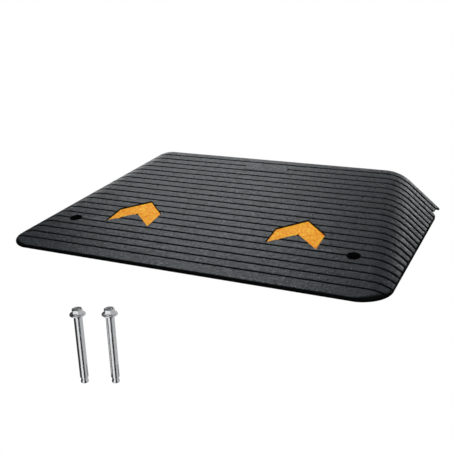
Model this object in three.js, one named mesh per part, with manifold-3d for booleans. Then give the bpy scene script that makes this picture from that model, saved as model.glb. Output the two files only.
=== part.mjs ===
// Rubber kerb ramp with moulded grip ribs, two reflective chevrons and two loose expansion anchors.
//
// Millimetres, +Z up. The origin is the centre of the ramp's underside. +Y runs up the slope, from the
// thin front edge to the tall rear face that butts against the step. The two anchors stand on the floor
// in front of the ramp, not yet driven through its bolt holes.

import * as THREE from 'three';
import { mergeVertices } from 'three/addons/utils/BufferGeometryUtils.js';
import Module from 'manifold-3d';

const wasm = await Module();
wasm.setup();

// Ramp envelope.
const WIDTH = 1070;
const DEPTH = 700;
const RISE = 115;
const FRONT_EDGE = 11;
const SIDE_EDGE = 11;
const WING_WIDTH = 123.5; // plan width of the side wings at the rear
const CORNER_RADIUS = 80; // front corners, in plan
const RIDGE_RADIUS = 115; // soft edge between the main slope and each wing

// Grip ribs: twenty grooves across the slope, which run on down both wings.
const GROOVE_COUNT = 20;
const GROOVE_PITCH = 33.13;
const REAR_RIB = 28.6; // from the rearmost groove's centre line to the rear face
const GROOVE_MOUTH = 6.4;
const GROOVE_FLOOR = 4;
const GROOVE_DEPTH = 4;

// Bolt holes, each with a flat-bottomed recess for a washer and nut.
const HOLE_X = 414;
const HOLE_FROM_FRONT = 176;
const HOLE_DIAMETER = 18;
const RECESS_DIAMETER = 35;
const RECESS_SEAT = 17;

// Cable channel across the underside, near the rear.
const CHANNEL_WIDTH = 73;
const CHANNEL_HEIGHT = 16;
const CHANNEL_ROUNDING = 14;
const CHANNEL_FROM_FRONT = 658.5;
const MOUTH_LENGTH = 15; // at each end the channel's rear wall is open below a hook
const MOUTH_HEIGHT = 6;

// Reflective chevrons, set in pockets in the main slope.
const CHEVRON_X = 246;
const CHEVRON_FROM_FRONT = 184.5; // front ends of the two legs
const CHEVRON_HALF_WIDTH = 68.5;
const CHEVRON_LEG = 78; // length of the straight outer side
const CHEVRON_LENGTH = 145;
const CHEVRON_NOTCH = 63; // how far the inner corner lies behind the leg ends
const POCKET_DEPTH = 7.3;
const REFLECTOR_THICKNESS = 3;

// Blank moulded label pad.
const PAD_LENGTH = 140;
const PAD_WIDTH = 50;
const PAD_CORNER = 10;
const PAD_FROM_FRONT = 636;
const PAD_PROUD = 0.8;
const PAD_ROOT = 6;

// Expansion anchors, M12.
const ANCHOR_PLACES = { left: [99, -853], right: [152, -831] };
const ANCHOR_LENGTH = 148;
const STUD_RADIUS = 5.9;
const CONE_RADIUS = 7.3;
const CONE_WAIST = 5.6;
const CONE_RIM = 1.6;
const SLEEVE_RADIUS = 7.8;
const SLEEVE_BORE = 6.5;
const SLEEVE_BOTTOM = 10.5;
const SLIT_LENGTH = 27;
const SLIT_WIDTH = 1.3;
const SLIT_COUNT = 4;
const SLIT_START_ANGLE = -0.04;
const SEAM_WIDTH = 1; // where the rolled tube's two edges meet, between two slits
const WASHER_RADIUS = 14.4;
const WASHER_HOLE = 6.6;
const WASHER_THICKNESS = 2.4;
const NUT_HEIGHT = 9;
const NUT_ACROSS_FLATS = 18;
const NUT_BORE = 6.2;
const NUT_TURN = -0.244;

// Fits and facets.
const GAP = 0.3;
const ROUND_SEGMENTS = 32;
const CORNER_STEPS = 9;

const WING_SLOPE = (RISE - SIDE_EDGE) / WING_WIDTH;
const WING_ANGLE = Math.atan(WING_SLOPE);
const MAIN_SLOPE = (RISE - FRONT_EDGE) / DEPTH;
const MAIN_ANGLE = Math.atan(MAIN_SLOPE);

const rubber = new THREE.MeshStandardMaterial({ color: 0x2b2e31, roughness: 0.82, metalness: 0 });
const reflective = new THREE.MeshStandardMaterial({ color: 0xf79a1e, roughness: 0.4, metalness: 0 });
const zincSteel = new THREE.MeshStandardMaterial({ color: 0xb9bcc0, roughness: 0.3, metalness: 1 });

// ---------------------------------------------------------------------------------------------------
// Solids

function solidOf(geometry) {
  const bare = geometry.clone();
  bare.deleteAttribute('normal');
  bare.deleteAttribute('uv');
  const merged = mergeVertices(bare, 1e-4);
  const mesh = new wasm.Mesh({
    numProp: 3,
    vertProperties: new Float32Array(merged.attributes.position.array),
    triVerts: new Uint32Array(merged.index.array),
  });
  return new wasm.Manifold(mesh);
}

function geometryOf(solid) {
  const mesh = solid.getMesh();
  const geometry = new THREE.BufferGeometry();
  geometry.setAttribute('position', new THREE.BufferAttribute(mesh.vertProperties, 3));
  geometry.setIndex(new THREE.BufferAttribute(mesh.triVerts, 1));
  return geometry;
}

function cylinder(radius, bottom, top, x, y) {
  const geometry = new THREE.CylinderGeometry(radius, radius, top - bottom, ROUND_SEGMENTS);
  geometry.rotateX(Math.PI / 2);
  geometry.translate(x, y, (top + bottom) / 2);
  return solidOf(geometry);
}

// A turned piece from [radius, height] points. LatheGeometry turns about Y, so the result is stood up.
function turned(profile, segments = ROUND_SEGMENTS) {
  const points = profile.map(([radius, height]) => new THREE.Vector2(radius, height));
  const geometry = new THREE.LatheGeometry(points, segments);
  geometry.rotateX(Math.PI / 2);
  return geometry;
}

// A closed solid through equal rings of points, with flat ends. Each ring turns anticlockwise as seen
// from the front, and the rings run from front to rear.
function loft(rings) {
  const size = rings[0].length;
  const positions = rings.flat().flatMap((point) => [point.x, point.y, point.z]);
  const indices = [];
  for (let ring = 0; ring + 1 < rings.length; ring += 1) {
    for (let i = 0; i < size; i += 1) {
      const here = ring * size + i;
      const next = ring * size + ((i + 1) % size);
      indices.push(here, here + size, next + size);
      indices.push(here, next + size, next);
    }
  }
  const outline = rings[0].map((point) => new THREE.Vector2(point.x, point.z));
  const last = (rings.length - 1) * size;
  for (const [a, b, c] of THREE.ShapeUtils.triangulateShape(outline, [])) {
    indices.push(a, b, c);
    indices.push(last + a, last + c, last + b);
  }
  const geometry = new THREE.BufferGeometry();
  geometry.setAttribute('position', new THREE.Float32BufferAttribute(positions, 3));
  geometry.setIndex(indices);
  return geometry;
}

// ---------------------------------------------------------------------------------------------------
// Ramp surface. Distances named fromFront run back from the front edge along the ground.

function slopeHeight(fromFront) {
  return FRONT_EDGE + MAIN_SLOPE * fromFront;
}

function halfWidth(fromFront) {
  const inset = Math.max(CORNER_RADIUS - fromFront, 0);
  return WIDTH / 2 - CORNER_RADIUS + Math.sqrt(CORNER_RADIUS ** 2 - inset ** 2);
}

function grooveCentres() {
  const centres = [];
  for (let i = 0; i < GROOVE_COUNT; i += 1) {
    centres.push(DEPTH - REAR_RIB - i * GROOVE_PITCH);
  }
  return centres;
}

function grooveDepth(fromFront) {
  const offset = Math.min(...grooveCentres().map((centre) => Math.abs(centre - fromFront)));
  const wall = (GROOVE_MOUTH - GROOVE_FLOOR) / 2;
  return GROOVE_DEPTH * THREE.MathUtils.clamp((GROOVE_MOUTH / 2 - offset) / wall, 0, 1);
}

// Where the rounded ridge leaves the main slope.
function ridgeStart(fromFront) {
  const ridge = WIDTH / 2 - (slopeHeight(fromFront) - SIDE_EDGE) / WING_SLOPE;
  return ridge - RIDGE_RADIUS * Math.tan(WING_ANGLE / 2);
}

function surfaceHeight(x, fromFront) {
  const run = Math.max(x - ridgeStart(fromFront), 0);
  const roundRun = Math.min(run, RIDGE_RADIUS * Math.sin(WING_ANGLE));
  const roundDrop = RIDGE_RADIUS - Math.sqrt(RIDGE_RADIUS ** 2 - roundRun ** 2);
  const straightDrop = (run - roundRun) * WING_SLOPE;
  const tilt = Math.asin(roundRun / RIDGE_RADIUS);
  return slopeHeight(fromFront) - roundDrop - straightDrop - grooveDepth(fromFront) / Math.cos(tilt);
}

// One slice of the ramp: the underside, the two side edges, and the top from right to left.
function slice(fromFront) {
  const edge = halfWidth(fromFront);
  const inner = Math.min(ridgeStart(fromFront), edge - CORNER_RADIUS / 4);
  const shares = [1, 0.8, 0.62, 0.45, 0.36, 0.27, 0.18, 0.09, 0];
  const right = shares.map((share) => {
    const x = THREE.MathUtils.lerp(inner, edge, share);
    return new THREE.Vector3(x, fromFront - DEPTH / 2, surfaceHeight(x, fromFront));
  });
  right.unshift(new THREE.Vector3(edge, fromFront - DEPTH / 2, 0));
  const left = right.map((point) => new THREE.Vector3(-point.x, point.y, point.z)).reverse();
  return [...right, ...left];
}

function stations() {
  const places = [0, DEPTH];
  for (let step = 1; step <= CORNER_STEPS; step += 1) {
    const angle = (step / CORNER_STEPS) * (Math.PI / 2);
    places.push(CORNER_RADIUS * (1 - Math.cos(angle)));
  }
  for (const centre of grooveCentres()) {
    for (const half of [GROOVE_MOUTH / 2, GROOVE_FLOOR / 2]) {
      places.push(centre - half, centre + half);
    }
  }
  return places.sort((a, b) => a - b);
}

// ---------------------------------------------------------------------------------------------------
// Pieces cut from the ramp or set into it

// Moves a flat shape's solid onto the main slope, with its own Y running up the slope.
function ontoSlope(geometry, x, fromFront, above) {
  geometry.translate(0, 0, above);
  geometry.rotateX(MAIN_ANGLE);
  geometry.translate(x, fromFront - DEPTH / 2, slopeHeight(fromFront));
  return geometry;
}

// A chevron that points up the slope. Each edge lies `inset` inside the full outline.
function chevronShape(inset) {
  const frontAngle = Math.atan2(CHEVRON_LENGTH - CHEVRON_LEG, CHEVRON_HALF_WIDTH);
  const notchAngle = Math.atan2(CHEVRON_NOTCH, CHEVRON_HALF_WIDTH);
  const half = CHEVRON_HALF_WIDTH - inset;
  const apex = CHEVRON_LENGTH - inset / Math.cos(frontAngle);
  const shoulder = apex - half * Math.tan(frontAngle);
  const notch = CHEVRON_NOTCH + inset / Math.cos(notchAngle);
  const foot = notch - half * Math.tan(notchAngle);
  return new THREE.Shape([
    new THREE.Vector2(half, foot),
    new THREE.Vector2(half, shoulder),
    new THREE.Vector2(0, apex),
    new THREE.Vector2(-half, shoulder),
    new THREE.Vector2(-half, foot),
    new THREE.Vector2(0, notch),
  ]);
}

function chevronSolid(inset, x, bottom, thickness) {
  const options = { depth: thickness, bevelEnabled: false };
  const geometry = new THREE.ExtrudeGeometry(chevronShape(inset), options);
  return ontoSlope(geometry, x, CHEVRON_FROM_FRONT, bottom);
}

function padGeometry() {
  const x = PAD_LENGTH / 2;
  const y = PAD_WIDTH / 2;
  const shape = new THREE.Shape();
  shape.absarc(x - PAD_CORNER, y - PAD_CORNER, PAD_CORNER, 0, Math.PI / 2);
  shape.absarc(PAD_CORNER - x, y - PAD_CORNER, PAD_CORNER, Math.PI / 2, Math.PI);
  shape.absarc(PAD_CORNER - x, PAD_CORNER - y, PAD_CORNER, Math.PI, Math.PI * 1.5);
  shape.absarc(x - PAD_CORNER, PAD_CORNER - y, PAD_CORNER, Math.PI * 1.5, Math.PI * 2);
  const options = { depth: PAD_ROOT + PAD_PROUD, bevelEnabled: false, curveSegments: 4 };
  return ontoSlope(new THREE.ExtrudeGeometry(shape, options), 0, PAD_FROM_FRONT, -PAD_ROOT);
}

// The channel's arch is drawn in the YZ plane and runs the whole width.
function channelGeometry() {
  const half = CHANNEL_WIDTH / 2;
  const spring = CHANNEL_HEIGHT - CHANNEL_ROUNDING;
  const shape = new THREE.Shape();
  shape.moveTo(-half, -CHANNEL_HEIGHT);
  shape.lineTo(half, -CHANNEL_HEIGHT);
  shape.absarc(half - CHANNEL_ROUNDING, spring, CHANNEL_ROUNDING, 0, Math.PI / 2);
  shape.absarc(CHANNEL_ROUNDING - half, spring, CHANNEL_ROUNDING, Math.PI / 2, Math.PI);
  const options = { depth: WIDTH + 2 * CHANNEL_WIDTH, bevelEnabled: false, curveSegments: 6 };
  const geometry = new THREE.ExtrudeGeometry(shape, options);
  const across = new THREE.Vector3(1, 0, 0);
  const along = new THREE.Vector3(0, 1, 0);
  const up = new THREE.Vector3(0, 0, 1);
  geometry.applyMatrix4(new THREE.Matrix4().makeBasis(along, up, across));
  geometry.translate(-options.depth / 2, CHANNEL_FROM_FRONT - DEPTH / 2, 0);
  return geometry;
}

// The open mouth at one end of the channel, from its middle out through the rear face.
function mouthGeometry(side) {
  const depth = 2 * (DEPTH - CHANNEL_FROM_FRONT);
  const geometry = new THREE.BoxGeometry(2 * MOUTH_LENGTH, depth, 2 * MOUTH_HEIGHT);
  geometry.translate((side * WIDTH) / 2, CHANNEL_FROM_FRONT - DEPTH / 2 + depth / 2, 0);
  return geometry;
}

function rampSolid() {
  let ramp = solidOf(loft(stations().map(slice)));
  ramp = ramp.add(solidOf(padGeometry()));
  ramp = ramp.subtract(solidOf(channelGeometry()));
  const holeY = HOLE_FROM_FRONT - DEPTH / 2;
  for (const side of [-1, 1]) {
    const x = side * HOLE_X;
    ramp = ramp.subtract(cylinder(HOLE_DIAMETER / 2, -RISE, RISE, x, holeY));
    ramp = ramp.subtract(cylinder(RECESS_DIAMETER / 2, RECESS_SEAT, RISE, x, holeY));
    ramp = ramp.subtract(solidOf(chevronSolid(0, side * CHEVRON_X, -POCKET_DEPTH, RISE)));
    ramp = ramp.subtract(solidOf(mouthGeometry(side)));
  }
  return ramp;
}

// ---------------------------------------------------------------------------------------------------
// Anchor pieces, each standing on its own axis

const NUT_BOTTOM = ANCHOR_LENGTH - NUT_HEIGHT;
const WASHER_BOTTOM = NUT_BOTTOM - GAP - WASHER_THICKNESS;
const SLEEVE_TOP = WASHER_BOTTOM - GAP;

// Threaded rod with an expander cone at its foot.
function studGeometry() {
  const top = ANCHOR_LENGTH - 0.5;
  return turned([
    [0, 0],
    [CONE_RADIUS - 0.8, 0],
    [CONE_RADIUS, CONE_RIM],
    [CONE_WAIST, SLEEVE_BOTTOM],
    [CONE_WAIST, SLEEVE_BOTTOM + SLIT_LENGTH],
    [STUD_RADIUS, SLEEVE_BOTTOM + SLIT_LENGTH + 1],
    [STUD_RADIUS, top - 1.2],
    [STUD_RADIUS - 1.2, top],
    [0, top],
  ]);
}

// A cut through one side of the sleeve's wall, up from its foot.
function wallCut(width, length, angle) {
  const cut = new THREE.BoxGeometry(2 * SLEEVE_RADIUS, width, 2 * length);
  cut.translate(SLEEVE_RADIUS, 0, SLEEVE_BOTTOM);
  cut.rotateZ(angle);
  return solidOf(cut);
}

// Rolled tube with an open seam, split at its foot into leaves that the cone spreads.
function sleeveGeometry() {
  let sleeve = solidOf(turned([
    [SLEEVE_BORE, SLEEVE_BOTTOM],
    [SLEEVE_RADIUS, SLEEVE_BOTTOM],
    [SLEEVE_RADIUS, SLEEVE_TOP],
    [SLEEVE_BORE, SLEEVE_TOP],
    [SLEEVE_BORE, SLEEVE_BOTTOM],
  ]));
  for (let i = 0; i < SLIT_COUNT; i += 1) {
    const angle = SLIT_START_ANGLE + (i * 2 * Math.PI) / SLIT_COUNT;
    sleeve = sleeve.subtract(wallCut(SLIT_WIDTH, SLIT_LENGTH, angle));
  }
  const seamAngle = SLIT_START_ANGLE - Math.PI / SLIT_COUNT;
  return geometryOf(sleeve.subtract(wallCut(SEAM_WIDTH, ANCHOR_LENGTH, seamAngle)));
}

function washerGeometry() {
  const chamfer = 0.5;
  const top = WASHER_BOTTOM + WASHER_THICKNESS;
  return turned([
    [WASHER_HOLE, WASHER_BOTTOM],
    [WASHER_RADIUS, WASHER_BOTTOM],
    [WASHER_RADIUS, top - chamfer],
    [WASHER_RADIUS - chamfer, top],
    [WASHER_HOLE, top],
    [WASHER_HOLE, WASHER_BOTTOM],
  ]);
}

// Hex nut with a chamfered crown and a small conical collar.
function nutGeometry() {
  const corner = NUT_ACROSS_FLATS / Math.sqrt(3);
  const crown = NUT_ACROSS_FLATS / 2 - 0.4;
  const chamfer = 1.3;
  const collar = 11.4;
  const collarRim = 1;
  const collarHeight = 2.6;
  const hex = solidOf(turned([
    [0, NUT_BOTTOM],
    [corner, NUT_BOTTOM],
    [corner, ANCHOR_LENGTH],
    [0, ANCHOR_LENGTH],
  ], 6));
  const envelope = solidOf(turned([
    [0, NUT_BOTTOM],
    [corner + 1, NUT_BOTTOM],
    [corner + 1, ANCHOR_LENGTH - chamfer - 0.6],
    [crown, ANCHOR_LENGTH],
    [0, ANCHOR_LENGTH],
  ]));
  const flange = solidOf(turned([
    [0, NUT_BOTTOM],
    [collar, NUT_BOTTOM],
    [collar, NUT_BOTTOM + collarRim],
    [NUT_ACROSS_FLATS / 2 - 0.5, NUT_BOTTOM + collarHeight],
    [0, NUT_BOTTOM + collarHeight],
  ]));
  const bore = cylinder(NUT_BORE, NUT_BOTTOM - 1, ANCHOR_LENGTH + 1, 0, 0);
  return geometryOf(hex.intersect(envelope).add(flange).subtract(bore)).rotateZ(NUT_TURN);
}

// ---------------------------------------------------------------------------------------------------
// Assembly

function named(name, geometry, material) {
  const mesh = new THREE.Mesh(geometry, material);
  mesh.name = name;
  return mesh;
}

function anchor(side) {
  const group = new THREE.Group();
  const [x, y] = ANCHOR_PLACES[side];
  group.position.set(x, y, 0);
  group.add(named(`anchor_stud_${side}`, studGeometry(), zincSteel));
  group.add(named(`anchor_sleeve_${side}`, sleeveGeometry(), zincSteel));
  group.add(named(`anchor_washer_${side}`, washerGeometry(), zincSteel));
  group.add(named(`anchor_nut_${side}`, nutGeometry(), zincSteel));
  return group;
}

const object = new THREE.Group();
object.add(named('ramp_body', geometryOf(rampSolid()), rubber));
for (const [side, sign] of [['left', -1], ['right', 1]]) {
  const bottom = GAP - POCKET_DEPTH;
  const reflector = chevronSolid(GAP, sign * CHEVRON_X, bottom, REFLECTOR_THICKNESS);
  object.add(named(`reflector_${side}`, reflector, reflective));
  object.add(anchor(side));
}

export default object;
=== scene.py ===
"""Looks of the rubber kerb ramp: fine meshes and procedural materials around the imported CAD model."""

import math

import bmesh
import bpy
from mathutils import Matrix, Vector


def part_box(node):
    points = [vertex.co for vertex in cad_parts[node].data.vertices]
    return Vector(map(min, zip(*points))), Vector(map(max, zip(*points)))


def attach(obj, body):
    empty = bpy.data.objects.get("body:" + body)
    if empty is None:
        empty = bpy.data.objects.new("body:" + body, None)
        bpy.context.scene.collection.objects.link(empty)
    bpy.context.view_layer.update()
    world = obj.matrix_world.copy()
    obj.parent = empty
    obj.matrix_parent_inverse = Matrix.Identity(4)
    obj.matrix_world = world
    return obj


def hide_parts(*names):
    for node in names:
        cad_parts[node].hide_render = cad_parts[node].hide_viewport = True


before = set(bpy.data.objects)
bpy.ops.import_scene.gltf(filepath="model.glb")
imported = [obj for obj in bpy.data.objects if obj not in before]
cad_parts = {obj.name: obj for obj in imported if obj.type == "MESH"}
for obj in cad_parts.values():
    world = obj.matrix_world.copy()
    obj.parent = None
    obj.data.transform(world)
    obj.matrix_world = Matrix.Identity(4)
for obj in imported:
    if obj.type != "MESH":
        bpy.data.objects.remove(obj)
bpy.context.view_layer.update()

MM = 0.001
SIDES = {"left": -1, "right": 1}

# Driving sizes, as in the CAD source, apart from the rounded edges and the grooves' softer sections.
# The ramp's length, depth and height come from its own box.
LOW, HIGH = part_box("ramp_body")
HALF_WIDTH = HIGH[0]
DEPTH = HIGH[1] - LOW[1]
RISE = HIGH[2]
FRONT_EDGE = 11 * MM
SIDE_EDGE = 11 * MM
WING_WIDTH = 123.5 * MM
CORNER_RADIUS = 80 * MM
RIDGE_RADIUS = 115 * MM
EDGE_RADIUS = 2.5 * MM
CORNER_EDGE_RADIUS = 9 * MM
FOOT_CHAMFER = 1 * MM

GROOVE_COUNT = 20
GROOVE_PITCH = 33.13 * MM
REAR_RIB = 28.6 * MM
GROOVE_DEPTH = 4 * MM

# Half widths of a groove's floor and mouth. They round off the CAD's straight sides, most on the wings.
GROOVE_HALF_FLOOR = 1.5 * MM
GROOVE_HALF_MOUTH = 3.7 * MM
WING_HALF_MOUTH = 6.2 * MM

HOLE_X = 414 * MM
HOLE_FROM_FRONT = 176 * MM
HOLE_RADIUS = 9 * MM
RECESS_RADIUS = 17.5 * MM
RECESS_SEAT = 17 * MM

CHANNEL_WIDTH = 73 * MM
CHANNEL_HEIGHT = 16 * MM
CHANNEL_ROUNDING = 14 * MM
CHANNEL_FROM_FRONT = 658.5 * MM
MOUTH_LENGTH = 15 * MM
MOUTH_HEIGHT = 6 * MM

CHEVRON_X = 246 * MM
CHEVRON_FROM_FRONT = 184.5 * MM
CHEVRON_HALF_WIDTH = 68.5 * MM
CHEVRON_LEG = 78 * MM
CHEVRON_LENGTH = 145 * MM
CHEVRON_NOTCH = 63 * MM
CHEVRON_CORNER = 1.5 * MM
POCKET_DEPTH = 7.3 * MM
REFLECTOR_THICKNESS = 3 * MM

PAD_LENGTH = 140 * MM
PAD_WIDTH = 50 * MM
PAD_CORNER = 10 * MM
PAD_FROM_FRONT = 636 * MM
PAD_PROUD = 0.8 * MM

THREAD_PITCH = 1.75 * MM
THREAD_DEPTH = 0.95 * MM
THREAD_LENGTH = 50 * MM
THREAD_CREST = 5.9 * MM
CONE_WAIST = 5.6 * MM
CONE_LENGTH = 10.5 * MM
SLEEVE_BORE = 6.5 * MM
SLIT_LENGTH = 27 * MM
SLIT_WIDTH = 1.3 * MM
SLIT_COUNT = 4
SLIT_START_ANGLE = -0.04
SEAM_WIDTH = 1 * MM
WASHER_HOLE = 6.6 * MM
NUT_ACROSS_FLATS = 18 * MM
NUT_BORE = 6.2 * MM
NUT_TURN = -0.244
GAP = 0.3 * MM

ROUND_SEGMENTS = 96
SHARP_ANGLE = 35

WING_SLOPE = (RISE - SIDE_EDGE) / WING_WIDTH
WING_ANGLE = math.atan(WING_SLOPE)
MAIN_SLOPE = (RISE - FRONT_EDGE) / DEPTH
MAIN_ANGLE = math.atan(MAIN_SLOPE)
GROOVES = [DEPTH - REAR_RIB - i * GROOVE_PITCH for i in range(GROOVE_COUNT)]

# ---------------------------------------------------------------------------------------------------
# Camera: eye level and lens of the product view.

CAMERA_PLACE = (0.83246, -1.76668, 0.70196)
CAMERA_TURN = 0.4462
CAMERA_DOWN = 0.343
CAMERA_ROLL = -0.030
CAMERA_LENS = 56.85


def make_camera():
    data = bpy.data.cameras.new("camera")
    data.lens = CAMERA_LENS
    data.sensor_width = 36
    camera = bpy.data.objects.new("camera", data)
    bpy.context.scene.collection.objects.link(camera)
    aim = Matrix.Rotation(CAMERA_TURN, 4, "Z") @ Matrix.Rotation(math.pi / 2 - CAMERA_DOWN, 4, "X")
    aim = aim @ Matrix.Rotation(CAMERA_ROLL, 4, "Z")
    camera.matrix_world = Matrix.Translation(CAMERA_PLACE) @ aim
    bpy.context.scene.camera = camera


# ---------------------------------------------------------------------------------------------------
# Mesh helpers


def add_object(name, build):
    """An object that holds what a bmesh has built."""
    bmesh.ops.recalc_face_normals(build, faces=build.faces)
    mesh = bpy.data.meshes.new(name)
    build.to_mesh(mesh)
    build.free()
    piece = bpy.data.objects.new(name, mesh)
    bpy.context.scene.collection.objects.link(piece)
    return piece


def stack(name, rings, around=None):
    """A closed solid through equal rings of points. It has flat ends, or joins up when `around` is set."""
    build = bmesh.new()
    rows = [[build.verts.new(point) for point in ring] for ring in rings]
    pairs = list(zip(rows, rows[1:]))
    if around:
        pairs.append((rows[-1], rows[0]))
    for low, high in pairs:
        for i in range(len(low)):
            j = (i + 1) % len(low)
            build.faces.new((low[i], low[j], high[j], high[i]))
    if not around:
        build.faces.new(rows[0])
        build.faces.new(rows[-1])
    return add_object(name, build)


def circle(radius, height, centre, segments):
    x, y = centre
    angles = [2 * math.pi * i / segments for i in range(segments)]
    return [(x + radius * math.cos(a), y + radius * math.sin(a), height) for a in angles]


def turned(name, profile, centre, hollow=False):
    """A turned solid from (radius, height) points. A hollow one's profile is a closed loop."""
    return stack(name, [circle(radius, height, centre, ROUND_SEGMENTS) for radius, height in profile], hollow)


def filleted(points, radius, steps=5):
    """The outline with each corner rounded."""
    rounded = []
    for i, corner in enumerate(points):
        corner = Vector(corner)
        back = (Vector(points[i - 1]) - corner).normalized()
        ahead = (Vector(points[(i + 1) % len(points)]) - corner).normalized()
        half = back.angle(ahead) / 2
        centre = corner + (back + ahead).normalized() * radius / math.sin(half)
        start = corner + back * radius / math.tan(half) - centre
        end = corner + ahead * radius / math.tan(half) - centre
        for step in range(steps + 1):
            arm = start.lerp(end, step / steps).normalized() * radius
            rounded.append(centre + arm)
    return rounded


def placed(outline, height, matrix):
    return [matrix @ Vector((point[0], point[1], height)) for point in outline]


def boolean(piece, operation, cutter):
    """Cuts or joins with a solid, which is used up."""
    modifier = piece.modifiers.new("boolean", "BOOLEAN")
    modifier.operation = operation
    modifier.solver = "EXACT"
    modifier.object = cutter
    apply_modifiers(piece)
    bpy.data.objects.remove(cutter)


def apply_modifiers(piece):
    shown = piece.evaluated_get(bpy.context.evaluated_depsgraph_get())
    mesh = bpy.data.meshes.new_from_object(shown)
    piece.modifiers.clear()
    piece.data = mesh


def soften(piece, width):
    modifier = piece.modifiers.new("bevel", "BEVEL")
    modifier.width = width
    modifier.segments = 2
    modifier.limit_method = "ANGLE"
    modifier.angle_limit = math.radians(SHARP_ANGLE)
    apply_modifiers(piece)


def smooth(piece, angle=SHARP_ANGLE):
    mesh = piece.data
    mesh.shade_smooth()
    mesh.set_sharp_from_angle(angle=math.radians(angle))


def finish_piece(piece, material, body, node):
    piece.data.materials.clear()
    piece.data.materials.append(material)
    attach(piece, body)
    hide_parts(node)


# ---------------------------------------------------------------------------------------------------
# Ramp surface. Distances named from_front run back from the front edge along the ground.


def slope_height(from_front):
    return FRONT_EDGE + MAIN_SLOPE * from_front


def smooth_step(low, high, value):
    share = min(max((value - low) / (high - low), 0), 1)
    return share * share * (3 - 2 * share)


def edge_distance(x, from_front):
    """How far a point lies inside the plan outline, apart from the rear edge."""
    across = abs(x) - (HALF_WIDTH - CORNER_RADIUS)
    back = CORNER_RADIUS - from_front
    if across > 0 and back > 0:
        return CORNER_RADIUS - math.hypot(across, back)
    return min(HALF_WIDTH - abs(x), from_front)


def ridge_start(from_front):
    ridge = HALF_WIDTH - (slope_height(from_front) - SIDE_EDGE) / WING_SLOPE
    return ridge - RIDGE_RADIUS * math.tan(WING_ANGLE / 2)


def rib_height(x, from_front):
    """Height of the rib tops, before grooves and rounded edges."""
    run = max(abs(x) - ridge_start(from_front), 0)
    round_run = min(run, RIDGE_RADIUS * math.sin(WING_ANGLE))
    round_drop = RIDGE_RADIUS - math.sqrt(RIDGE_RADIUS**2 - round_run**2)
    return slope_height(from_front) - round_drop - (run - round_run) * WING_SLOPE


def tilt_at(x, from_front):
    run = max(abs(x) - ridge_start(from_front), 0)
    return math.asin(min(run / RIDGE_RADIUS, math.sin(WING_ANGLE)))


def groove_depth(x, from_front):
    offset = min(abs(centre - from_front) for centre in GROOVES)
    share = tilt_at(x, from_front) / WING_ANGLE
    mouth = GROOVE_HALF_MOUTH + (WING_HALF_MOUTH - GROOVE_HALF_MOUTH) * share
    return GROOVE_DEPTH * (1 - smooth_step(GROOVE_HALF_FLOOR, mouth, offset))


def edge_radius(x, from_front):
    """The top edge's rounding, which grows round the front corners."""
    across = abs(x) - (HALF_WIDTH - CORNER_RADIUS)
    back = CORNER_RADIUS - from_front
    if across <= 0 or back <= 0:
        return EDGE_RADIUS
    return EDGE_RADIUS + (CORNER_EDGE_RADIUS - EDGE_RADIUS) * math.sin(2 * math.atan2(across, back))


def edge_drop(x, from_front):
    radius = edge_radius(x, from_front)
    side = max(radius - edge_distance(x, from_front), 0)
    rear = max(radius - (DEPTH - from_front), 0)
    return radius - math.sqrt(max(radius**2 - side**2 - rear**2, 0))


def surface_height(x, from_front):
    """Height of the top face, which keeps above the foot chamfer where a groove runs out at a corner."""
    depth = groove_depth(x, from_front) / math.cos(tilt_at(x, from_front))
    height = rib_height(x, from_front) - depth - edge_drop(x, from_front)
    return max(height, 2 * FOOT_CHAMFER)


def half_outline(from_front):
    """The x places on one half of a slice, from its edge to the foot of the ridge."""
    centre = HALF_WIDTH - CORNER_RADIUS
    back = max(CORNER_RADIUS - from_front, 0)
    edge = centre + math.sqrt(CORNER_RADIUS**2 - back**2)
    radius = edge_radius(edge, from_front)
    arc_steps = 8
    wing_steps = 26
    least_step = 0.2 * MM
    least_wing = 20 * MM
    places = []
    for step in range(arc_steps + 1):
        inset = radius * (1 - math.cos(math.pi / 2 * step / arc_steps))
        reach = (CORNER_RADIUS - inset) ** 2 - back**2
        fallback = edge - (edge - centre) * step / arc_steps - least_step * step
        places.append(centre + math.sqrt(reach) if reach > 0 else fallback)
    inner = min(ridge_start(from_front), places[-1] - least_wing)
    for step in range(1, wing_steps + 1):
        places.append(places[arc_steps] + (inner - places[arc_steps]) * step / wing_steps)
    return places


def ramp_slice(from_front):
    """The points round one slice of the ramp, from its right foot over the top to its left foot."""
    y = from_front + LOW[1]
    lift = max(FOOT_CHAMFER - from_front, FOOT_CHAMFER - (DEPTH - from_front), 0)
    places = half_outline(from_front)
    edge = places[0]
    right = [(edge - FOOT_CHAMFER, y, lift), (edge, y, lift + FOOT_CHAMFER)]
    right += [(x, y, surface_height(x, from_front)) for x in places]
    left = [(-x, y, z) for x, y, z in reversed(right)]
    return right + left


def stations():
    """The slices' distances from the front edge, which are closest where the surface bends."""
    corner_steps = 18
    edge_steps = 6
    groove_steps = 10
    least_gap = 0.1 * MM
    places = [0, DEPTH]
    for step in range(1, corner_steps + 1):
        places.append(CORNER_RADIUS * (1 - math.cos(math.radians(90 * step / corner_steps))))
    for step in range(1, edge_steps + 1):
        inset = EDGE_RADIUS * (1 - math.cos(math.pi / 2 * step / edge_steps))
        places += [inset, DEPTH - inset]
    for centre in GROOVES:
        for step in range(groove_steps + 1):
            offset = GROOVE_HALF_FLOOR + (WING_HALF_MOUTH - GROOVE_HALF_FLOOR) * step / groove_steps
            places += [centre - offset, centre + offset]
    kept = [0]
    for place in sorted(places):
        if place - kept[-1] > least_gap:
            kept.append(place)
    return kept


# ---------------------------------------------------------------------------------------------------
# Pieces cut from the ramp or set into it


def slope_matrix(x, from_front):
    """From a flat plan, with +Y up the slope, to its place on the main slope."""
    place = Matrix.Translation((x, from_front + LOW[1], slope_height(from_front)))
    return place @ Matrix.Rotation(MAIN_ANGLE, 4, "X")


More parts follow.
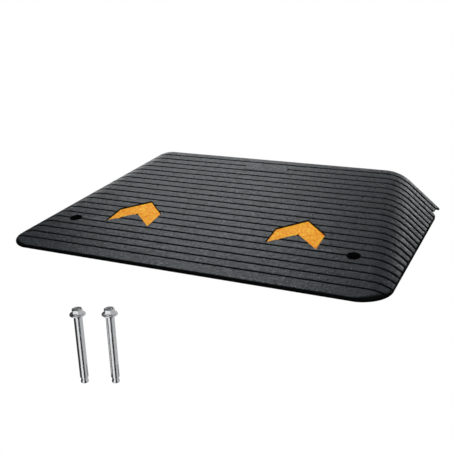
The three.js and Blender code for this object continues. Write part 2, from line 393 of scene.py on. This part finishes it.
def chevron_outline(inset):
    front_angle = math.atan2(CHEVRON_LENGTH - CHEVRON_LEG, CHEVRON_HALF_WIDTH)
    notch_angle = math.atan2(CHEVRON_NOTCH, CHEVRON_HALF_WIDTH)
    half = CHEVRON_HALF_WIDTH - inset
    apex = CHEVRON_LENGTH - inset / math.cos(front_angle)
    shoulder = apex - half * math.tan(front_angle)
    notch = CHEVRON_NOTCH + inset / math.cos(notch_angle)
    foot = notch - half * math.tan(notch_angle)
    corners = [(half, foot), (half, shoulder), (0, apex), (-half, shoulder), (-half, foot), (0, notch)]
    return filleted(corners, CHEVRON_CORNER)


def chevron(name, x, layers):
    """A chevron solid from (height, inset) layers, on the main slope."""
    matrix = slope_matrix(x, CHEVRON_FROM_FRONT)
    return stack(name, [placed(chevron_outline(inset), height, matrix) for height, inset in layers])


def pocket_cutter(x):
    lip = 1.5 * MM
    above = 5 * MM
    return chevron("pocket", x, [(-POCKET_DEPTH, 0), (-lip, 0), (0, -lip), (above, -lip - above)])


def pad_solid():
    """The blank label pad, which reaches down into the ramp."""
    root = -5 * MM
    matrix = slope_matrix(0, PAD_FROM_FRONT)
    rings = []
    for height, inset in ((root, 0), (PAD_PROUD - 0.4 * MM, 0), (PAD_PROUD, 0.5 * MM)):
        x = PAD_LENGTH / 2 - inset
        y = PAD_WIDTH / 2 - inset
        corners = [(x, y), (-x, y), (-x, -y), (x, -y)]
        rings.append(placed(filleted(corners, PAD_CORNER - inset, 10), height, matrix))
    return stack("pad", rings)


def channel_cutter():
    """The arched cable channel, which runs out past both sides of the ramp."""
    rounding_steps = 12
    half = CHANNEL_WIDTH / 2
    middle = CHANNEL_FROM_FRONT + LOW[1]
    arch = [(middle - half, -CHANNEL_HEIGHT), (middle + half, -CHANNEL_HEIGHT)]
    for side, first in ((1, 0), (-1, math.pi / 2)):
        for step in range(rounding_steps + 1):
            angle = first + math.pi / 2 * step / rounding_steps
            y = middle + side * (half - CHANNEL_ROUNDING) + CHANNEL_ROUNDING * math.cos(angle)
            z = CHANNEL_HEIGHT - CHANNEL_ROUNDING + CHANNEL_ROUNDING * math.sin(angle)
            arch.append((y, z))
    past_side = 1
    return stack("channel", [[(x, y, z) for y, z in arch] for x in (-past_side, past_side)])


def mouth_cutter(side):
    """The open mouth at one end of the channel, from its middle out through the rear face."""
    front = CHANNEL_FROM_FRONT + LOW[1]
    rear = HIGH[1] + 10 * MM
    ease = 1.2 * MM
    rings = []
    for reach in (-MOUTH_LENGTH, MOUTH_LENGTH):
        x = side * (HALF_WIDTH + reach)
        outline = [(front, -MOUTH_HEIGHT), (rear, -MOUTH_HEIGHT), (rear, MOUTH_HEIGHT), (front, MOUTH_HEIGHT)]
        rings.append([(x, y, z) for y, z in filleted(outline, ease)])
    return stack("mouth", rings)


def hole_cutter(x):
    y = HOLE_FROM_FRONT + LOW[1]
    profile = [(HOLE_RADIUS + MM, -MM), (HOLE_RADIUS, MM)]
    profile += [(HOLE_RADIUS, RECESS_SEAT), (RECESS_RADIUS, RECESS_SEAT), (RECESS_RADIUS, RISE)]
    return turned("hole", profile, (x, y))


def rim_cutter(x):
    """The recess's softened rim, which lies along the slope."""
    lip = 1 * MM
    above = 5 * MM
    matrix = slope_matrix(x, HOLE_FROM_FRONT)
    rings = []
    for height, radius in ((-lip, RECESS_RADIUS), (above, RECESS_RADIUS + lip + above)):
        outline = [point[:2] for point in circle(radius, 0, (0, 0), ROUND_SEGMENTS)]
        rings.append(placed(outline, height, matrix))
    return stack("rim", rings)


def paint_shade_mask(piece):
    """Stores a painted shade mask, from 0 to 1, where the rubber is painted near black.

    It is 1 down in a groove, recess or pocket, on the edges and on the side and front faces.
    It is 0 on the ribs, the rear face and the underside.
    """
    # Painted shade: it grows over these depths below the rib tops and over these drops round the rounded
    # edges.
    painted_shade_below = (0.02 * MM, 0.9 * MM)
    painted_shade_drop = (0.1 * MM, 1.5 * MM)
    depth = piece.data.attributes.new("groove", "FLOAT", "POINT")
    for vertex in piece.data.vertices:
        x, y, z = vertex.co
        from_front = y - LOW[1]
        inside = edge_distance(x, from_front)
        if from_front > DEPTH - MM or z < 0.1 * MM:
            shade = 0
        elif inside < 0.5 * MM:
            shade = 1
        else:
            drop = edge_drop(x, from_front)
            below = rib_height(x, from_front) - z - drop
            shade = max(smooth_step(*painted_shade_below, below), smooth_step(*painted_shade_drop, drop))
        depth.data[vertex.index].value = shade


def make_ramp(material):
    ramp = stack("ramp_rubber", [ramp_slice(place) for place in stations()])
    boolean(ramp, "UNION", pad_solid())
    boolean(ramp, "DIFFERENCE", channel_cutter())
    for side in SIDES.values():
        boolean(ramp, "DIFFERENCE", rim_cutter(side * HOLE_X))
        boolean(ramp, "DIFFERENCE", hole_cutter(side * HOLE_X))
        boolean(ramp, "DIFFERENCE", pocket_cutter(side * CHEVRON_X))
        boolean(ramp, "DIFFERENCE", mouth_cutter(side))
    smooth(ramp)
    paint_shade_mask(ramp)
    finish_piece(ramp, material, "ramp", "ramp_body")


def make_reflector(side, sign, material):
    bottom = GAP - POCKET_DEPTH
    top = bottom + REFLECTOR_THICKNESS
    layers = [(bottom, GAP), (top - 0.6 * MM, GAP), (top - 0.2 * MM, GAP + 0.15 * MM), (top, GAP + 0.6 * MM)]
    plate = chevron(f"reflector_plate_{side}", sign * CHEVRON_X, layers)
    smooth(plate)
    finish_piece(plate, material, "ramp", f"reflector_{side}")


# ---------------------------------------------------------------------------------------------------
# Anchors


def anchor_axis(side):
    low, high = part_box(f"anchor_stud_{side}")
    return (low[0] + high[0]) / 2, (low[1] + high[1]) / 2


def thread_radius(angle, height):
    """Radius of the helical thread: rounded vees, one turn per pitch."""
    turn = (height / THREAD_PITCH - angle / (2 * math.pi)) % 1
    vee = abs(2 * turn - 1)
    return THREAD_CREST - THREAD_DEPTH * smooth_step(0.1, 0.95, vee)


def make_stud(side, material):
    x, y = anchor_axis(side)
    low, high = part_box(f"anchor_stud_{side}")
    cone = high[0] - x
    bottom = low[2]
    top = high[2]
    segments = 48
    rows_per_turn = 8
    chamfer = 1.2 * MM
    foot = [(cone - 0.8 * MM, 0), (cone - 0.2 * MM, 0.5 * MM), (cone, 1.6 * MM), (CONE_WAIST, CONE_LENGTH)]
    rings = []
    for radius, height in foot:
        rings.append(circle(radius, bottom + height, (x, y), segments))
    thread_start = top - THREAD_LENGTH
    rings.append(circle(CONE_WAIST, thread_start - MM, (x, y), segments))
    rows = round(THREAD_LENGTH / THREAD_PITCH * rows_per_turn)
    for row in range(rows + 1):
        height = thread_start + THREAD_LENGTH * row / rows
        cap = THREAD_CREST - max(height - (top - chamfer), 0)
        ring = []
        for i in range(segments):
            angle = 2 * math.pi * i / segments
            radius = min(thread_radius(angle, height), cap)
            ring.append((x + radius * math.cos(angle), y + radius * math.sin(angle), height))
        rings.append(ring)
    stud = stack(f"stud_thread_{side}", rings)
    smooth(stud, 50)
    finish_piece(stud, material, f"anchor_{side}", f"anchor_stud_{side}")


def wall_cutter(centre, bottom, length, width, angle):
    """A cut with a round tip through one side of the sleeve's wall."""
    tip_steps = 8
    start = bottom - 5 * MM
    tip = bottom + length - width / 2
    outline = [(-width / 2, start), (width / 2, start)]
    for step in range(tip_steps + 1):
        turn = math.pi * step / tip_steps
        outline.append((width / 2 * math.cos(turn), tip + width / 2 * math.sin(turn)))
    matrix = Matrix.Translation((*centre, 0)) @ Matrix.Rotation(angle, 4, "Z")
    inside = 3 * MM
    outside = 12 * MM
    rings = []
    for reach in (inside, outside):
        rings.append([matrix @ Vector((reach, across, height)) for across, height in outline])
    return stack("wall_cut", rings)


def make_sleeve(side, material):
    centre = anchor_axis(side)
    low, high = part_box(f"anchor_sleeve_{side}")
    radius = high[0] - centre[0]
    bottom = low[2]
    top = high[2]
    bore = SLEEVE_BORE
    ease = 0.2 * MM
    profile = [(bore, bottom + ease), (bore + ease, bottom), (radius - ease, bottom), (radius, bottom + ease)]
    profile += [(radius, top - ease), (radius - ease, top), (bore + ease, top), (bore, top - ease)]
    sleeve = turned(f"sleeve_tube_{side}", profile, centre, hollow=True)
    for i in range(SLIT_COUNT):
        angle = SLIT_START_ANGLE + i * 2 * math.pi / SLIT_COUNT
        boolean(sleeve, "DIFFERENCE", wall_cutter(centre, bottom, SLIT_LENGTH, SLIT_WIDTH, angle))
    seam_angle = SLIT_START_ANGLE - math.pi / SLIT_COUNT
    boolean(sleeve, "DIFFERENCE", wall_cutter(centre, bottom, top, SEAM_WIDTH, seam_angle))
    smooth(sleeve)
    finish_piece(sleeve, material, f"sleeve_{side}", f"anchor_sleeve_{side}")


def make_washer(side, material):
    centre = anchor_axis(side)
    low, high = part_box(f"anchor_washer_{side}")
    radius = high[0] - centre[0]
    hole = WASHER_HOLE
    bottom = low[2]
    top = high[2]
    profile = [(hole, bottom + 0.3 * MM), (hole + 0.3 * MM, bottom), (radius - 0.6 * MM, bottom)]
    profile += [(radius - 0.15 * MM, bottom + 0.3 * MM), (radius, bottom + 0.8 * MM)]
    profile += [(radius, top - 0.8 * MM), (radius - 0.2 * MM, top - 0.3 * MM), (radius - 0.8 * MM, top)]
    profile += [(hole + 0.4 * MM, top), (hole, top - 0.4 * MM)]
    washer = turned(f"washer_ring_{side}", profile, centre, hollow=True)
    smooth(washer)
    finish_piece(washer, material, f"sleeve_{side}", f"anchor_washer_{side}")


def make_nut(side, material):
    centre = anchor_axis(side)
    low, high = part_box(f"anchor_nut_{side}")
    bottom = low[2]
    top = high[2]
    corner = NUT_ACROSS_FLATS / math.sqrt(3)
    flat = NUT_ACROSS_FLATS / 2
    matrix = Matrix.Translation((*centre, 0)) @ Matrix.Rotation(NUT_TURN - math.pi / 2, 4, "Z")
    hexagon = [point[:2] for point in circle(corner, 0, (0, 0), 6)]
    nut = stack(f"hex_nut_{side}", [placed(hexagon, height, matrix) for height in (bottom + 0.4 * MM, top)])
    crown = [(corner + MM, bottom), (corner + MM, top - 1.9 * MM), (flat - 0.1 * MM, top - 0.3 * MM)]
    crown += [(flat - 0.9 * MM, top)]
    boolean(nut, "INTERSECT", turned("crown", crown, centre))
    soften(nut, 0.25 * MM)
    collar = high[0] - centre[0]
    flange = [(collar - 0.4 * MM, bottom), (collar, bottom + 0.4 * MM), (collar - 0.1 * MM, bottom + MM)]
    flange += [(collar - 0.5 * MM, bottom + 1.3 * MM), (flat - 0.4 * MM, bottom + 2.6 * MM)]
    boolean(nut, "UNION", turned("flange", flange, centre))
    bore = [(NUT_BORE + 0.8 * MM, bottom - 0.4 * MM), (NUT_BORE, bottom + 0.6 * MM)]
    bore += [(NUT_BORE, top - 0.6 * MM), (NUT_BORE + MM, top + 0.4 * MM)]
    boolean(nut, "DIFFERENCE", turned("bore", bore, centre))
    smooth(nut, 30)
    finish_piece(nut, material, f"nut_{side}", f"anchor_nut_{side}")


# ---------------------------------------------------------------------------------------------------
# Materials


class Nodes:
    """A short way to write a node tree."""

    def __init__(self, tree):
        self.tree = tree
        tree.nodes.clear()

    def add(self, kind, **settings):
        node = self.tree.nodes.new(kind)
        for name, value in settings.items():
            setattr(node, name, value)
        return node

    def set(self, socket, value):
        """Links an output to a socket, or sets its value."""
        if isinstance(value, bpy.types.NodeSocket):
            self.tree.links.new(value, socket)
        else:
            socket.default_value = value

    def math(self, operation, a, b=0.0):
        node = self.add("ShaderNodeMath", operation=operation)
        self.set(node.inputs[0], a)
        self.set(node.inputs[1], b)
        return node.outputs[0]

    def place(self, stretch=(1, 1, 1)):
        """The point on the object, in metres."""
        scaled = self.add("ShaderNodeVectorMath", operation="MULTIPLY")
        self.set(scaled.inputs[0], self.add("ShaderNodeTexCoord").outputs["Object"])
        scaled.inputs[1].default_value = stretch
        return scaled.outputs[0]

    def noise(self, place, size):
        node = self.add("ShaderNodeTexNoise")
        self.set(node.inputs["Vector"], place)
        node.inputs["Scale"].default_value = 1 / size
        node.inputs["Detail"].default_value = 3
        return node.outputs["Fac"]

    def cells(self, place, size, output):
        node = self.add("ShaderNodeTexVoronoi")
        self.set(node.inputs["Vector"], place)
        node.inputs["Scale"].default_value = 1 / size
        return node.outputs[output]

    def grade(self, value, from_low, from_high, to_low, to_high):
        node = self.add("ShaderNodeMapRange")
        for socket, number in zip(node.inputs, (value, from_low, from_high, to_low, to_high)):
            self.set(socket, number)
        return node.outputs[0]

    def mix(self, share, first, second):
        """A mix of two colours. Inputs 6 and 7 and output 2 are the node's colour ones."""
        node = self.add("ShaderNodeMix", data_type="RGBA")
        self.set(node.inputs[0], share)
        self.set(node.inputs[6], first)
        self.set(node.inputs[7], second)
        return node.outputs[2]

    def bump(self, height, distance, strength, normal=None):
        node = self.add("ShaderNodeBump")
        self.set(node.inputs["Height"], height)
        node.inputs["Distance"].default_value = distance
        node.inputs["Strength"].default_value = strength
        if normal:
            self.set(node.inputs["Normal"], normal)
        return node.outputs[0]

    def surface(self, **sockets):
        shader = self.add("ShaderNodeBsdfPrincipled")
        for name, value in sockets.items():
            self.set(shader.inputs[name.replace("_", " ")], value)
        output = self.add("ShaderNodeOutputMaterial")
        self.set(output.inputs[0], shader.outputs[0])


def new_material(name):
    material = bpy.data.materials.new(name)
    material.use_nodes = True
    return material, Nodes(material.node_tree)


def rubber_material():
    """Pressed rubber crumb: packed grains of slightly different greys, with painted shade near black down in
    the grooves, on the edges and on the front and side faces.
    """
    material, nodes = new_material("rubber_crumb")
    grain = 5 * MM
    place = nodes.place()
    tone = nodes.cells(place, grain, "Color")
    fine = nodes.noise(place, 1.6 * MM)
    patches = nodes.noise(place, 90 * MM)
    cloudy = nodes.grade(patches, 0.3, 0.7, 0.8, 1.15)
    share = nodes.math("MULTIPLY", cloudy, nodes.grade(fine, 0.3, 0.7, 0.4, 1))
    share = nodes.math("MULTIPLY", share, nodes.grade(tone, 0, 1, 0.1, 1.7))
    rib = nodes.mix(share, (0.002, 0.0025, 0.003, 1), (0.026, 0.031, 0.036, 1))
    # The 'groove' attribute is a painted shade mask: it turns the colour near black and the surface fully
    # rough in the grooves, recesses and pockets, on the edges and on the front and side faces.
    groove = nodes.add("ShaderNodeAttribute", attribute_name="groove").outputs["Fac"]
    colour = nodes.mix(groove, rib, (0.003, 0.003, 0.003, 1))
    shine = nodes.grade(tone, 0, 1, 0.5, 0.24)
    rough = nodes.math("MAXIMUM", shine, groove)
    grains = nodes.bump(nodes.cells(place, grain, "Distance"), 0.6 * MM, 0.8)
    normal = nodes.bump(fine, 0.15 * MM, 0.5, grains)
    faint_blue = (0.84, 0.94, 1, 1)
    nodes.surface(Base_Color=colour, Roughness=rough, Normal=normal, Specular_Tint=faint_blue)
    return material


def reflective_material():
    """Orange retroreflective sheet, set with fine glass beads."""
    material, nodes = new_material("orange_reflective")
    place = nodes.place()
    beads = nodes.cells(place, 1.6 * MM, "Distance")
    tone = nodes.cells(place, 3.4 * MM, "Color")
    wear = nodes.noise(place, 40 * MM)
    speckle = nodes.grade(tone, 0, 1, -0.3, 1.55)
    share = nodes.math("MULTIPLY", speckle, nodes.grade(wear, 0.3, 0.7, 0.75, 1.1))
    colour = nodes.mix(share, (0.86, 0.18, 0.003, 1), (1.0, 0.55, 0.035, 1))
    rough = nodes.grade(beads, 0, 0.6, 0.5, 0.7)
    normal = nodes.bump(beads, 0.15 * MM, 0.6)
    nodes.surface(Base_Color=colour, Roughness=rough, Normal=normal)
    return material


def zinc_material():
    """Bright zinc plate over drawn steel: faint lines along the axis and soft cloudy spots."""
    material, nodes = new_material("zinc_plated_steel")
    lines = nodes.noise(nodes.place((1, 1, 0.06)), 0.8 * MM)
    clouds = nodes.noise(nodes.place(), 9 * MM)
    drawn = nodes.grade(lines, 0.3, 0.7, 0.6, 1)
    share = nodes.math("MULTIPLY", drawn, nodes.grade(clouds, 0.3, 0.7, 0.7, 1))
    colour = nodes.mix(share, (0.50, 0.51, 0.53, 1), (0.86, 0.87, 0.88, 1))
    rough = nodes.grade(clouds, 0.3, 0.7, 0.18, 0.27)
    normal = nodes.bump(lines, 0.01 * MM, 0.15)
    nodes.surface(Base_Color=colour, Metallic=1.0, Roughness=rough, Normal=normal)
    return material


# ---------------------------------------------------------------------------------------------------
# Studio

AMBIENT = 0.06
FLOOR_REACH = 30
FLOOR_PAINT = (0.05, 0.05, 0.05, 1)

# Each card's name, its radiance, and the angles it runs between, in degrees from +X.
CARDS = (("front", 1.0, -104, -62), ("side", 0.55, -24, 95), ("rear", 0.15, 100, 160))
CARD_RADIUS = 24 * MM
CARD_HEIGHT = 360 * MM
CARD_LIFT = 0.3 * MM

# Each light's name, place, target, size and radiance, and whether it shows in reflections.
LIGHTS = (
    ("overhead", (0, 0.2, 2.6), (0, 0, 0), (3.4, 2.6), 2.6, False),
    ("rear", (-0.95, 3.2, 0.62), (-0.95, 0, 0.2), (5.3, 1.0), 2.1, True),
    ("rear_left", (-1.5, 2.35, 2.1), (0, 0, 0.1), (1.7, 1.0), 2.2, True),
    ("front", (1.9, -3.0, 1.5), (0, 0, 0.1), (3.2, 1.2), 1.0, True),
)


def curved_card(name, centre, start, end):
    """A card that runs out along the floor and up, bent round a centre between two angles."""
    card_steps = 12
    profile = ((CARD_RADIUS / 3, CARD_LIFT), (CARD_RADIUS, CARD_LIFT), (CARD_RADIUS, CARD_HEIGHT))
    x, y = centre
    build = bmesh.new()
    last = None
    for step in range(card_steps + 1):
        angle = math.radians(start + (end - start) * step / card_steps)
        row = []
        for reach, level in profile:
            row.append(build.verts.new((x + reach * math.cos(angle), y + reach * math.sin(angle), level)))
        for i in range(len(row) - 1) if last else ():
            build.faces.new((last[i], last[i + 1], row[i + 1], row[i]))
        last = row
    return add_object(name, build)


def glowing(name, radiance):
    material, nodes = new_material(name)
    glow = nodes.add("ShaderNodeEmission")
    glow.inputs["Strength"].default_value = radiance
    output = nodes.add("ShaderNodeOutputMaterial")
    nodes.set(output.inputs[0], glow.outputs[0])
    return material


def reflected_only(card):
    """A card that shows in reflections, and casts no light or shadow of its own."""
    card.visible_camera = False
    card.visible_diffuse = False
    card.visible_shadow = False


def make_cards():
    """Cards bent round each anchor, which give the plated steel its bright and dark bands."""
    for side in SIDES:
        for part, radiance, start, end in CARDS:
            name = f"card_{part}_{side}"
            card = curved_card(name, anchor_axis(side), start, end)
            card.data.materials.append(glowing(name, radiance))
            reflected_only(card)


def make_floor():
    """A white sweep, which throws less light back up than the camera sees on it."""
    build = bmesh.new()
    bmesh.ops.create_grid(build, size=FLOOR_REACH)
    floor = add_object("floor", build)
    material, nodes = new_material("studio_floor")
    white = nodes.add("ShaderNodeEmission")
    paint = nodes.add("ShaderNodeBsdfDiffuse")
    paint.inputs["Color"].default_value = FLOOR_PAINT
    blend = nodes.add("ShaderNodeMixShader")
    nodes.set(blend.inputs[0], nodes.add("ShaderNodeLightPath").outputs["Is Camera Ray"])
    nodes.set(blend.inputs[1], paint.outputs[0])
    nodes.set(blend.inputs[2], white.outputs[0])
    output = nodes.add("ShaderNodeOutputMaterial")
    nodes.set(output.inputs[0], blend.outputs[0])
    floor.data.materials.append(material)


def area_light(name, place, target, size, radiance, glossy):
    data = bpy.data.lights.new(name, "AREA")
    data.shape = "RECTANGLE"
    data.size, data.size_y = size
    data.energy = math.pi * size[0] * size[1] * radiance
    light = bpy.data.objects.new(name, data)
    bpy.context.scene.collection.objects.link(light)
    light.location = place
    aim = Vector(target) - Vector(place)
    light.rotation_euler = aim.to_track_quat("-Z", "Y").to_euler()
    light.visible_glossy = glossy


def make_world():
    world = bpy.data.worlds.new("studio")
    bpy.context.scene.world = world
    world.use_nodes = True
    nodes = Nodes(world.node_tree)
    sky = nodes.add("ShaderNodeBackground")
    sky.inputs["Color"].default_value = (1, 1, 1, 1)
    seen = nodes.add("ShaderNodeLightPath").outputs["Is Camera Ray"]
    nodes.set(sky.inputs["Strength"], nodes.grade(seen, 0, 1, AMBIENT, 1))
    output = nodes.add("ShaderNodeOutputWorld")
    nodes.set(output.inputs[0], sky.outputs[0])


def make_studio():
    make_floor()
    make_cards()
    make_world()
    for light in LIGHTS:
        area_light(*light)
    bpy.context.scene.view_settings.view_transform = "Standard"


# ---------------------------------------------------------------------------------------------------

make_camera()
make_studio()
make_ramp(rubber_material())
orange = reflective_material()
zinc = zinc_material()
for side_name, side_sign in SIDES.items():
    make_reflector(side_name, side_sign, orange)
    make_stud(side_name, zinc)
    make_sleeve(side_name, zinc)
    make_washer(side_name, zinc)
    make_nut(side_name, zinc)
